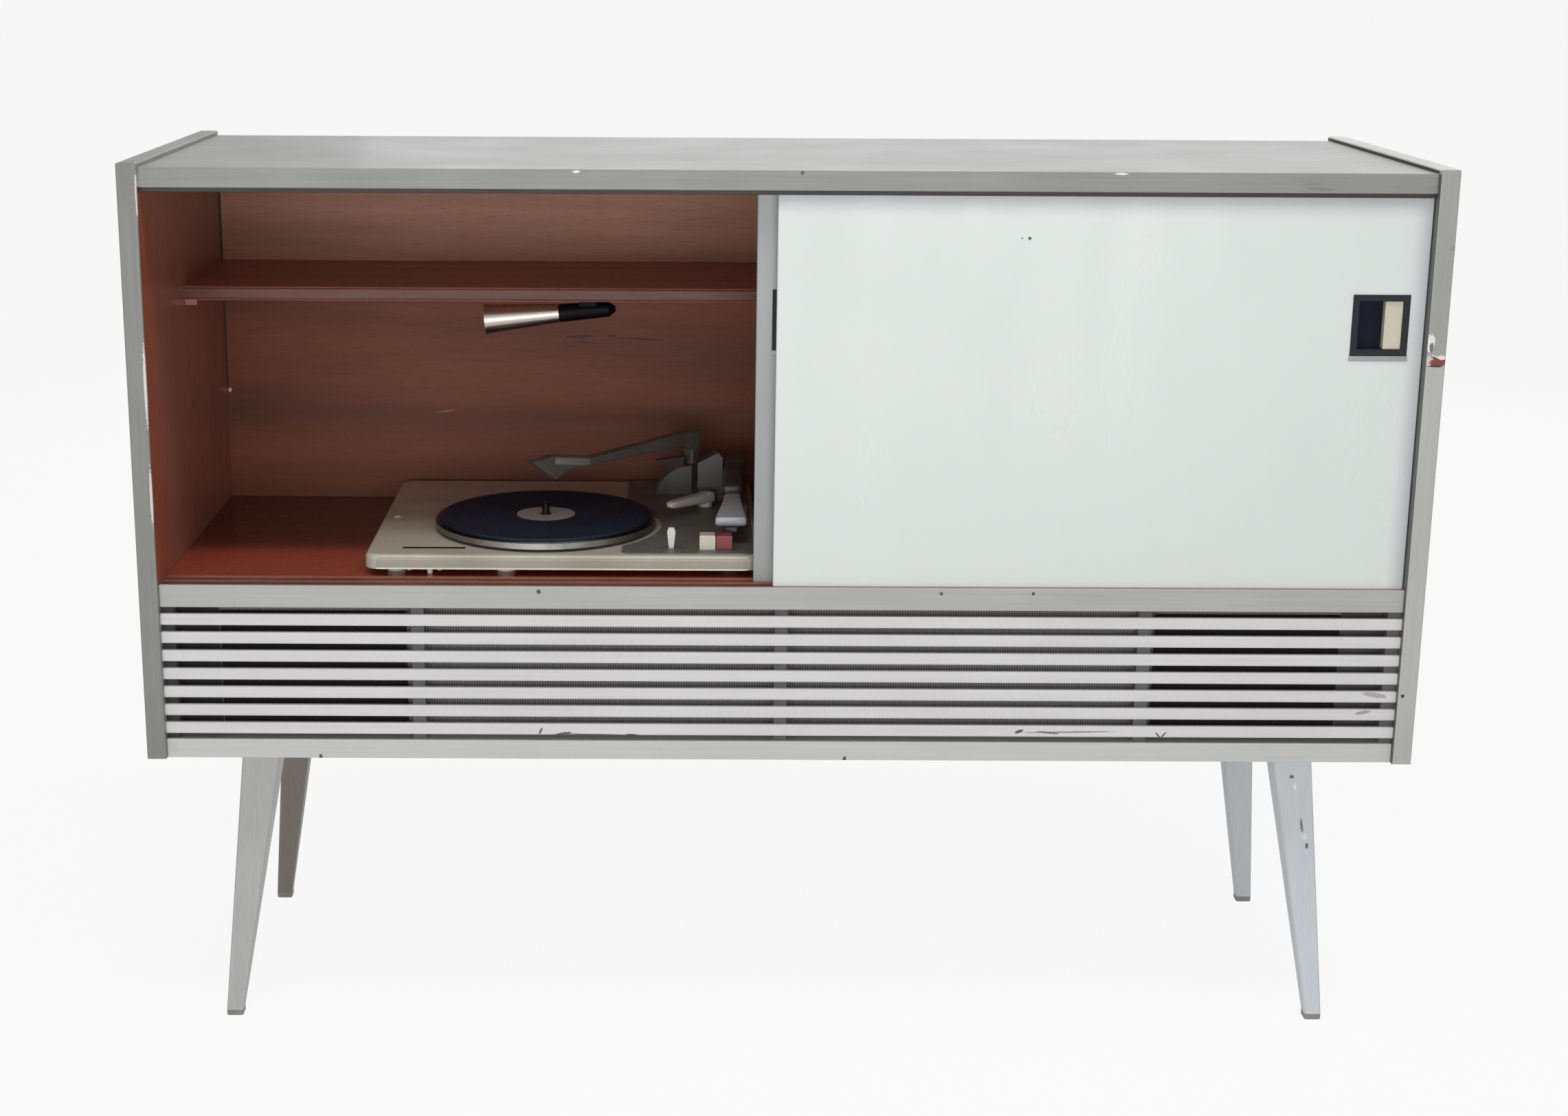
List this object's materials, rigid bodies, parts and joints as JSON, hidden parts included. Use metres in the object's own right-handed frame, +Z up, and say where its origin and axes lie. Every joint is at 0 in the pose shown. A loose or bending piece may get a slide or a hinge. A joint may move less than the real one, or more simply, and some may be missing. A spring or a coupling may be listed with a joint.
{
  "type": "radiogram console",
  "caption": "Radiogram console on splayed legs: sliding doors over a record-changer bay and a radio bay, with a slatted loudspeaker grille below.",
  "frame": {"origin": "on the floor, under the middle of the case", "axes": "+X along the case to the viewer's right, +Y from the front to the back, +Z up"},
  "size_m": [1.2, 0.385, 0.84],
  "materials": {
    "case_paint": "grey satin paint on plywood, worn at the arrises",
    "slat_paint": "pale grey satin paint on softwood",
    "door_grey": "grey satin paint on plywood",
    "door_white": "white satin paint on plywood",
    "mahogany": "red-brown mahogany veneer, polished",
    "back_board": "red-brown stained board",
    "track_strip": "stained hardwood, waxed",
    "baffle_board": "grey painted board",
    "speaker_cloth": "black woven loudspeaker cloth",
    "speaker_metal": "black stove enamel",
    "cone_paper": "black pressed paper",
    "pull_black": "black moulded plastic",
    "pull_cream": "cream moulded plastic",
    "steel": "zinc-plated steel",
    "tip_rubber": "black rubber",
    "glide_nylon": "grey nylon",
    "deck_cream": "cream stove enamel",
    "control_grey": "dark grey stove enamel",
    "mount_white": "white rubber",
    "platter_metal": "turned aluminium",
    "mat_rubber": "navy ribbed rubber",
    "motor_metal": "grey painted laminations",
    "brass": "turned brass",
    "idler_rubber": "black ground rubber",
    "arm_grey": "dark grey moulded plastic",
    "arm_light": "light grey moulded plastic",
    "cartridge_plastic": "black moulded plastic",
    "key_cream": "cream moulded plastic",
    "key_red": "red moulded plastic",
    "lever_white": "white moulded plastic",
    "lamp_chrome": "polished chrome plate",
    "lamp_black": "black moulded plastic",
    "bulb_glass": "clear glass",
    "fascia_veneer": "polished mahogany veneer",
    "dial_glass": "clear sheet glass",
    "pointer_red": "red enamel",
    "knob_cream": "cream moulded plastic",
    "chassis_metal": "plated steel, valves and iron"
  },
  "bodies": {
    "console": {"side_panel_left": "case_paint", "side_panel_right": "case_paint", "top_panel": "case_paint", "compartment_floor": "mahogany", "bottom_panel": "case_paint", "back_panel": "back_board", "lead_grommet": "tip_rubber", "back_screws": "steel", "centre_partition": "mahogany", "shelf_left": "mahogany", "shelf_right": "mahogany", "shelf_cleats": "mahogany", "upper_track": "track_strip", "lower_track": "track_strip", "grille_slats": "slat_paint", "speaker_baffle": "baffle_board", "speaker_cloth": "speaker_cloth", "speaker_frames": "speaker_metal", "speaker_cones": "cone_paper", "leg_front_left": "case_paint", "leg_front_right": "case_paint", "leg_rear_left": "case_paint", "leg_rear_right": "case_paint", "leg_fixings": "steel", "leg_tips": "glide_nylon", "deck_plate": "deck_cream", "control_panel": "control_grey", "deck_mounts": "mount_white", "spindle": "steel", "drive_motor": "motor_metal", "arm_rest": "arm_grey", "overarm_post": "arm_grey", "lamp_shade": "lamp_chrome", "lamp_holder": "lamp_black", "lamp_bulb": "bulb_glass", "radio_fascia": "fascia_veneer", "dial_glass": "dial_glass", "radio_chassis": "chassis_metal"},
    "left_door": {"door_left": "door_grey", "pull_left": "pull_black", "pull_plate_left": "pull_cream"},
    "right_door": {"door_right": "door_white", "pull_right": "pull_black", "pull_plate_right": "pull_cream"},
    "platter_body": {"platter": "platter_metal", "platter_mat": "mat_rubber"},
    "idler": {"idler_wheel": "idler_rubber"},
    "pulley": {"motor_pulley": "brass"},
    "turret": {"tonearm_turret": "arm_grey"},
    "pickup_arm": {"tonearm": "arm_light", "cartridge": "cartridge_plastic"},
    "overhead_arm": {"overarm": "arm_grey"},
    "speed_control": {"speed_lever": "lever_white"},
    "start_key": {"start_button": "key_cream"},
    "stop_key": {"stop_button": "key_red"},
    "size_control": {"size_lever": "lever_white"},
    "volume_control": {"volume_knob": "knob_cream"},
    "band_control": {"band_knob": "knob_cream"},
    "tuning_control": {"tuning_knob": "knob_cream"},
    "pointer": {"dial_pointer": "pointer_red"}
  },
  "joints": [
    {"name": "left_door_slide", "type": "slide", "parent": "console", "child": "left_door", "axis": [1, 0, 0], "range_m": [-0.555, 0.018]},
    {"name": "right_door_slide", "type": "slide", "parent": "console", "child": "right_door", "axis": [1, 0, 0], "range_m": [-0.573, 0]},
    {"name": "platter_spin", "type": "hinge", "parent": "console", "child": "platter_body", "pos_m": [-0.229, -0.033, 0.471], "axis": [0, 0, 1], "continuous": true},
    {"name": "idler_spin", "type": "hinge", "parent": "console", "child": "idler", "pos_m": [-0.29031, 0.02831, 0.471], "axis": [0, 0, 1], "continuous": true},
    {"name": "motor_spin", "type": "hinge", "parent": "console", "child": "pulley", "pos_m": [-0.26766, 0.03655, 0.471], "axis": [0, 0, 1], "continuous": true},
    {"name": "tonearm_swing", "type": "hinge", "parent": "console", "child": "turret", "pos_m": [-0.054, 0.082, 0.4726], "axis": [0, 0, -1], "range_deg": [0, 43]},
    {"name": "tonearm_lift", "type": "hinge", "parent": "turret", "child": "pickup_arm", "pos_m": [-0.054, 0.082, 0.5006], "axis": [-1, 0, 0], "range_deg": [0, 15]},
    {"name": "overarm_swing", "type": "hinge", "parent": "console", "child": "overhead_arm", "pos_m": [-0.084, 0.122, 0.5066], "axis": [0, 0, -1], "range_deg": [0, 50]},
    {"name": "speed_select", "type": "slide", "parent": "console", "child": "speed_control", "axis": [1, 0, 0], "range_m": [-0.012, 0.006]},
    {"name": "start_press", "type": "slide", "parent": "console", "child": "start_key", "axis": [0, 0, -1], "range_m": [0, 0.004], "stiffness_N_per_m": 400},
    {"name": "stop_press", "type": "slide", "parent": "console", "child": "stop_key", "axis": [0, 0, -1], "range_m": [0, 0.004], "stiffness_N_per_m": 400},
    {"name": "size_select", "type": "hinge", "parent": "console", "child": "size_control", "pos_m": [-0.07, 0.048, 0.4726], "axis": [0, 0, 1], "range_deg": [0, 15]},
    {"name": "volume_turn", "type": "hinge", "parent": "console", "child": "volume_control", "pos_m": [0.1255, -0.117, 0.502], "axis": [0, 1, 0], "range_deg": [0, 270]},
    {"name": "band_turn", "type": "hinge", "parent": "console", "child": "band_control", "pos_m": [0.2955, -0.117, 0.502], "axis": [0, 1, 0], "range_deg": [-60, 60]},
    {"name": "tuning_turn", "type": "hinge", "parent": "console", "child": "tuning_control", "pos_m": [0.4655, -0.117, 0.502], "axis": [0, 1, 0], "range_deg": [-540, 540]},
    {"name": "pointer_slide", "type": "slide", "parent": "console", "child": "pointer", "axis": [1, 0, 0], "range_m": [-0.165, 0.165]}
  ],
  "couplings": [
    {"joint": "idler_spin", "follows": "platter_spin", "ratio": 5.34},
    {"joint": "motor_spin", "follows": "platter_spin", "ratio": -26.7},
    {"joint": "pointer_slide", "follows": "tuning_turn", "m_per_rad": 0.0175}
  ]
}
